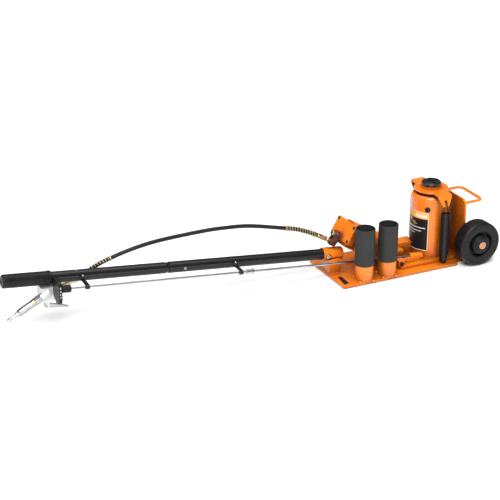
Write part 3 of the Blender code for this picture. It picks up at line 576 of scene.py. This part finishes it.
# %% Eased small pieces
for node, width in (
    ("inlet_elbow", 0.0016), ("valve_body", 0.0022), ("valve_bracket", 0.0014), ("throttle_lever", 0.0007),
    ("banjo_bolt", 0.0005), ("inlet_collar", 0.0006), ("rod_clip_jack_end", 0.0004),
    ("rod_clip_grip_end", 0.0004), ("saddle", 0.0012),
):
    eased(node, width, FINISHES[node])
print("small pieces eased")

# %% [markdown]
# The hose goes round in one piece, as a curve with a round bevel, which is the lightest way to make a
# smooth tube. It goes back into the object at both ends.

# %% Hose
curve = bpy.data.curves.new("air_hose", "CURVE")
curve.dimensions = "3D"
curve.bevel_depth = HOSE_RADIUS
curve.bevel_resolution = 6
curve.use_fill_caps = True
spline = curve.splines.new("POLY")
spline.points.add(len(hose_line) - 1)
for point, spot in zip(spline.points, hose_line):
    point.co = (*spot, 1)
curve.materials.append(HOSE_RUBBER)
air_hose = bpy.data.objects.new("air_hose", curve)
bpy.context.scene.collection.objects.link(air_hose)
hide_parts("hose")
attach(air_hose, "chassis")
print("hose made with", len(hose_line), "points")

# %% [markdown]
# At each end an open spring of plated wire keeps the hose from kinking. It is a helix wound on the hose's
# own line, between two brass rings.


# %% Wire guards
GUARD_LENGTH = 0.129
GUARD_COIL = 0.0078
GUARD_PITCH = 0.0092
GUARD_WIRE = 0.00125


def wound(line, radius, pitch, per_turn=16):
    """A helix round a line, as a list of points."""
    total = length_of(line)
    turns = total / pitch
    centres = evenly(line, int(turns * per_turn))
    side = Vector((0, 1, 0.01))
    coil = []
    for k, centre in enumerate(centres):
        along = (centres[min(k + 1, len(centres) - 1)] - centres[max(k - 1, 0)]).normalized()
        side = (side - along * side.dot(along)).normalized()
        rise = along.cross(side)
        angle = 2 * math.pi * k / per_turn
        coil.append(centre + (side * math.cos(angle) + rise * math.sin(angle)) * radius)
    return coil


for name, line in (("motor", hose_line), ("valve", hose_line[::-1])):
    reach = round(GUARD_LENGTH / hose_length * (HOSE_POINTS - 1))
    coil = wound(line[1:reach], GUARD_COIL, GUARD_PITCH)
    guard = swept("wire_guard_" + name, coil, GUARD_WIRE, YELLOW_ZINC, 8)
    for share, k in enumerate((1, reach - 1)):
        facing = (line[k + 1] - line[k]).to_track_quat("Z", "Y").to_matrix().to_4x4()
        ring = [(0.0067, -0.0012), (0.0090, -0.0012), (0.0092, 0), (0.0090, 0.0012), (0.0067, 0.0012)]
        place = Matrix.Translation(line[k]) @ facing
        end = turned("guard_ring_%s_%d" % (name, share), ring, place, BRASS, 40)
        end.parent = guard
    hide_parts("hose_guard_" + name)
    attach(guard, "chassis")

# %% [markdown]
# Each return spring is one length of wire: a straight end through the base plate, a narrow cone, the close
# coils, and a long hook through the ear of the yoke.

# %% Return springs
COIL_RADIUS = 0.0139
SPRING_WIRE = 0.0021
PITCH = 0.00435
PER_TURN = 22
SPRING_Y = 0.095
CONE_HEIGHT = 0.030
coil_foot, coil_top = 0.0125, 0.1860
for name, side in (("near", -1), ("far", 1)):
    steps = int((coil_top - coil_foot) / PITCH * PER_TURN)
    coil = []
    for k in range(steps + 1):
        share = k / steps
        height = coil_foot + (coil_top - coil_foot) * share
        narrow = min(1.0, 0.50 + 0.50 * (height - coil_foot) / CONE_HEIGHT)
        turn = 2 * math.pi * k / PER_TURN
        radius = COIL_RADIUS * narrow
        coil.append(Vector((radius * math.cos(turn), side * SPRING_Y + radius * math.sin(turn), height)))
    foot_hook = [
        (0, SPRING_Y, 0.0035), (0, SPRING_Y, 0.0080), (0.003, 0.0952, 0.0108), (0.0060, SPRING_Y, 0.0120),
    ]
    head_hook = [
        (0.0105, 0.0960, 0.1890), (0.0060, 0.0990, 0.1960), (0.0015, 0.1005, 0.2050), (0, 0.1010, 0.2160),
        (0, 0.0985, 0.2225), (0, 0.0920, 0.2255), (0, 0.0865, 0.2235), (0, 0.0848, 0.2165),
    ]
    start = [Vector((x, side * y, z)) for x, y, z in foot_hook]
    end = [Vector((x, side * y, z)) for x, y, z in head_hook]
    line = smooth_path(start, 40)[:-1] + coil + smooth_path(end, 60)
    spring = swept("return_spring_" + name, line, SPRING_WIRE, BLACK_SATIN, 8)
    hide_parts("spring_" + name)
    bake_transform(spring)
print("springs of", steps // PER_TURN, "turns")

# %% [markdown]
# The wheels are solid rubber on a moulded hub. The tyre has soft shoulders, a raised bead and a shallow
# groove in its wall, and the hub stands in a deep ring recess. A fine lathe profile gives all of it.


# %% Wheels
def arc(cx, cy, radius, start, end, steps=6):
    """Points of (radius, height) round a corner, by angle in degrees."""
    turns = [math.radians(start + (end - start) * k / steps) for k in range(steps + 1)]
    return [(cx + radius * math.cos(t), cy + radius * math.sin(t)) for t in turns]


HUB_RECESS = 0.018
shoulder = 0.0085
for name, side in (("near", -1), ("far", 1)):
    low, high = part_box(name + "_wheel_tyre")
    wheel_x, wheel_z = (low.x + high.x) / 2, (low.z + high.z) / 2
    inner, face = sorted((abs(low.y), abs(high.y)))
    outer = (high.z - low.z) / 2
    place = along_y(wheel_x, wheel_z, side)
    profile = [(0.0463, inner + 0.001), (0.062, inner + 0.0005)]
    profile += arc(outer - shoulder, inner + shoulder, shoulder, -90, 0)
    profile += arc(outer - shoulder, face - shoulder, shoulder, 0, 70)
    profile += [(0.0668, face - 0.0004), (0.0652, face), (0.0640, face), (0.0628, face - 0.0016)]
    profile += [(0.0560, face - 0.0012), (0.0490, face - 0.0016), (0.0463, face - 0.0022)]
    tyre = turned(name + "_tyre_moulding", profile, place, WHEEL_RUBBER)
    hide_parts(name + "_wheel_tyre")
    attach(tyre, name + "_wheel")

    deep = face - HUB_RECESS
    hub_low, hub_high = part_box(name + "_wheel_hub")
    back, tall = sorted((abs(hub_low.y), abs(hub_high.y)))
    hub = [(0.00985, back), (0.0180, back), (0.0200, inner), (0.0460, inner), (0.0460, face - 0.0030)]
    hub += [(0.0452, face - 0.0022), (0.0440, face - 0.0022), (0.0430, face - 0.0032)]
    hub += [(0.0424, deep + 0.002)]
    hub += [(0.0405, deep), (0.0345, deep), (0.0325, deep + 0.0015), (0.0318, face + 0.001)]
    hub += [(0.0308, face + 0.0030), (0.0290, face + 0.0042), (0.0262, face + 0.0044)]
    hub += [(0.0250, face + 0.0050), (0.0246, tall - 0.0014), (0.0232, tall), (0.0150, tall)]
    hub += [(0.0143, tall - 0.0008), (0.00985, tall - 0.0008)]
    moulding = turned(name + "_hub_moulding", hub, place, WHEEL_RUBBER)
    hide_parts(name + "_wheel_hub")
    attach(moulding, name + "_wheel")

    ring = [(0.0101, tall - 0.0006), (0.0122, tall - 0.0006)]
    ring += [(0.0120, tall + 0.0010), (0.0101, tall + 0.0012)]
    washer = turned(name + "_axle_washer", ring, place, BRIGHT_ZINC, 48)
    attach(washer, "chassis")
print("wheels of", round(2 * outer, 3), "m")

# %% [markdown]
# The reservoir is deep-drawn steel with a soft shoulder. A finer lathe profile than the solid's keeps its
# long highlights straight.

# %% Reservoir
tank_low, tank_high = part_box("reservoir")
# The solid's sides are flat, so the round shell is a hair wider than half the solid's width.
half_facet = math.pi / 96
tank = (tank_high.x - tank_low.x) / 2 / math.cos(2 * half_facet) * math.cos(half_facet)
tank_round = 0.013
wall = [(tank - 0.003, tank_low.z), (tank, tank_low.z)]
wall += arc(tank - tank_round, tank_high.z - tank_round, tank_round, 0, 90, 10)
wall += [(0.0343, tank_high.z), (0.0343, tank_high.z - 0.003), (tank - 0.010, tank_high.z - 0.003)]
wall += [(tank - 0.003, tank_high.z - tank_round)]
shell = turned("reservoir_shell", wall, Matrix.Identity(4), ORANGE, 128)
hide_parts("reservoir")
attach(shell, "chassis")
print("reservoir radius", round(tank, 4))

# %% [markdown]
# Most of what stands on the base is welded. A weld bead is a row of small overlapping ripples, so each one
# is a swept wire whose thickness swells and shrinks along its length.


# %% Weld beads
RIPPLE_STEP = 0.0011
FINE_BEAD = 0.0016
ADAPTER_Y = -0.0896
PEG_WELD = 0.0310
LOOP_Y = 0.065
LOOP_Z = 0.195
LOOP_WELD = 0.0055


def bead(name, line, radius=0.0028):
    corners = [Vector(p) for p in line]
    points = evenly(corners, max(12, int(length_of(corners) / RIPPLE_STEP)))

    def ripple(share):
        fade = min(1.0, 14 * share, 14 * (1 - share)) ** 0.5 if 0 < share < 1 else 0.3
        return radius * fade * (1 + 0.16 * math.sin(share * len(points) * 1.6))

    made = swept(name, points, ripple, ORANGE, 8)
    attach(made, "chassis")
    return made


def straight_bead(name, start, end):
    """A bead on the base plate between two points of (x, y)."""
    bead(name, [(*start, plate_top), (*end, plate_top)])


def round_bead(name, spot, radius, degrees, steps):
    """A bead round a point, by a function that places (across, along) offsets from it."""
    turns = [math.radians(degrees * k) for k in range(steps)]
    bead(name, [spot(radius * math.cos(a), radius * math.sin(a)) for a in turns], FINE_BEAD)


plate_top = 0.009
plate_low, plate_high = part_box("back_plate")
straight_bead("weld_back_front", (plate_low.x, plate_low.y + 0.004), (plate_low.x, plate_high.y - 0.004))
straight_bead("weld_back_rear", (plate_high.x, -0.070), (plate_high.x, 0.070))
bracket_low, bracket_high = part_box("socket_bracket")
for tag, y in (("near", bracket_low.y), ("far", bracket_high.y)):
    straight_bead("weld_socket_" + tag, (bracket_low.x + 0.002, y), (bracket_high.x - 0.002, y))
straight_bead("weld_socket_front", (bracket_low.x, bracket_low.y), (bracket_low.x, bracket_high.y))
for node in ("peg_long", "peg_short"):
    low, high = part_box(node)
    cx = (low.x + high.x) / 2
    round_bead("weld_" + node, lambda u, v: (cx + u, ADAPTER_Y + v, plate_top), PEG_WELD, 6, 61)
loop_x = plate_high.x + 0.0004
for tag, y in (("near", -LOOP_Y), ("far", LOOP_Y)):
    round_bead("weld_loop_" + tag, lambda u, v: (loop_x, y + u, LOOP_Z + v), LOOP_WELD, 15, 25)
print("weld beads made")

# %% [markdown]
# A small plain plate lies on the base by the handle. It is a thin black film.

# %% Base plate label
FILM_CORNERS = ((-0.378, -0.105), (-0.359, -0.102), (-0.357, -0.047), (-0.369, -0.043))
film_levels = (plate_top + 0.00005, plate_top + 0.00035)
film = shaded(
    "base_label",
    [(x, y, z) for z in film_levels for x, y in FILM_CORNERS],
    [(0, 1, 2, 3), (4, 5, 6, 7), (0, 1, 5, 4), (1, 2, 6, 5), (2, 3, 7, 6), (3, 0, 4, 7)],
    BLACK_SATIN,
)
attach(film, "chassis")
print("label on the base")

# %% [markdown]
# The grip is a rubber sleeve with fine ribs round it for a sure hold, a stepped collar at its inner end
# and a rounded cap. The ribs are real steps in the lathe profile, so they also show in its outline.

# %% Grip
handle_slope = math.radians(6.275)
outward = Vector((-math.cos(handle_slope), 0, math.sin(handle_slope)))
upward = Vector((math.sin(handle_slope), 0, math.cos(handle_slope)))
handle_foot = Vector((-0.3956, 0.015, 0.07175))
handle_axis = Matrix.Translation(handle_foot) @ outward.to_track_quat("Z", "Y").to_matrix().to_4x4()
GRIP_START, GRIP_END, RIB_PITCH = 0.928, 1.078, 0.0056
sleeve = [(0.0184, GRIP_START), (0.0212, GRIP_START)]
sleeve += [(0.0221, GRIP_START + 0.001), (0.0221, GRIP_START + 0.008)]
at_rib = GRIP_START + 0.0095
while at_rib < GRIP_END - 0.016:
    sleeve += [(0.0206, at_rib), (0.0214, at_rib + 0.0010)]
    sleeve += [(0.0214, at_rib + 0.0032), (0.0206, at_rib + 0.0042)]
    at_rib += RIB_PITCH
sleeve += arc(0.0212 - 0.006, GRIP_END - 0.006, 0.006, 0, 90)
sleeve += [(0.0090, GRIP_END - 0.0006), (0.0070, GRIP_END - 0.0022), (0, GRIP_END - 0.0026)]
sleeve += [(0, GRIP_END - 0.006), (0.0184, GRIP_END - 0.006)]
grip = turned("ribbed_grip", sleeve, handle_axis, GRIP, 64)
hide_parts("grip")
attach(grip, "chassis")
print("grip with", int((GRIP_END - GRIP_START) / RIB_PITCH), "ribs")

# %% [markdown]
# The screws of the rod clips, the tube and the valve bracket are too small for the engineering model.
# Each is a low domed head.


# %% Small screws
CLIP_PLACES = (("jack_end", 0.324), ("grip_end", 0.8325))
CLIP_LIFT = 0.0062
CLIP_OUT = 0.0213
TUBE_SCREW_AT = 0.846
TUBE_SCREW_LIFT = 0.0178
BRACKET_SCREWS = (0.168, 0.157, 0.148, 0.139)
BRACKET_SCREW_SIZE = 0.75


def screw(name, place):
    head = turned(name, dome, place, BRIGHT_ZINC, 24)
    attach(head, "chassis")


dome = [(0, 0), (0.0038, 0), (0.0036, 0.0010), (0.0026, 0.0021), (0.0012, 0.0025), (0, 0.0026)]
towards_near = Matrix.Rotation(math.radians(90), 4, "X")
for tag, along in CLIP_PLACES:
    spot = handle_foot + outward * along + upward * CLIP_LIFT + Vector((0, -CLIP_OUT, 0))
    screw("clip_screw_" + tag, Matrix.Translation(spot) @ towards_near)
spot = handle_foot + outward * TUBE_SCREW_AT + upward * TUBE_SCREW_LIFT
facing = upward.to_track_quat("Z", "Y").to_matrix().to_4x4()
screw("tube_screw", Matrix.Translation(spot) @ facing)
valve_low, valve_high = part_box("valve_bracket")
for k, up in enumerate(BRACKET_SCREWS):
    spot = Vector(((valve_low.x + valve_high.x) / 2, valve_low.y + 0.0014, up))
    place = Matrix.Translation(spot) @ towards_near @ Matrix.Scale(BRACKET_SCREW_SIZE, 4)
    screw("bracket_screw_%d" % (k + 1), place)
print("seven screws")

# %% [markdown]
# The studio is a pale floor under a sky that brightens upwards. A soft sun is the main light, with a broad
# lamp overhead and a long low strip beside the jack.

# %% Studio
floor_mesh = bpy.data.meshes.new("floor")
half = 14
floor_corners = [(-half, -half, 0), (half, -half, 0), (half, half, 0), (-half, half, 0)]
floor_mesh.from_pydata(floor_corners, [], [(0, 1, 2, 3)])
floor = bpy.data.objects.new("floor", floor_mesh)
bpy.context.scene.collection.objects.link(floor)
paper = Graph("studio_paper")
tone = paper.noise(3, 2, 0.5)
floor_mesh.materials.append(paper.set(base_color=paper.blend(tone, grey(0.93), grey(0.96)), roughness=0.9))

world = bpy.data.worlds.new("studio")
world.use_nodes = True
sky = world.node_tree
facing = sky.nodes.new("ShaderNodeTexCoord")
height = sky.nodes.new("ShaderNodeSeparateXYZ")
sky.links.new(facing.outputs["Generated"], height.inputs[0])
tent = sky.nodes.new("ShaderNodeValToRGB")
stops = (*tent.color_ramp.elements, tent.color_ramp.elements.new(0.62))
for element, (place, tone) in zip(stops, ((0.10, 0.10), (1.0, 1.0), (0.62, 0.22))):
    element.position = place
    element.color = (*grey(tone), 1)
sky.links.new(height.outputs["Z"], tent.inputs[0])
sky.links.new(tent.outputs["Color"], sky.nodes["Background"].inputs["Color"])
sky.nodes["Background"].inputs["Strength"].default_value = 0.9
bpy.context.scene.world = world
bpy.context.scene.view_settings.view_transform = "Standard"


def lamp(name, kind, spot, aim, power, size):
    light = bpy.data.lights.new(name, kind)
    light.energy = power
    if kind == "SUN":
        light.angle = size
    else:
        light.shape = "RECTANGLE"
        light.size, light.size_y = size
    made = bpy.data.objects.new(name, light)
    made.location = spot
    made.rotation_euler = (Vector(aim) - Vector(spot)).to_track_quat("-Z", "Y").to_euler()
    bpy.context.scene.collection.objects.link(made)
    return made


lamp("key", "SUN", (-1.2, -2.25, 3.0), (0, 0, 0), 3.2, math.radians(34))
lamp("top", "AREA", (-0.3, 0.4, 2.6), (-0.5, 0, 0), 34, (2.6, 1.4))
lamp("low_strip", "AREA", (-0.9, -2.3, 0.13), (-0.6, 0, 0.13), 15, (3.4, 0.10))
print("studio lit")
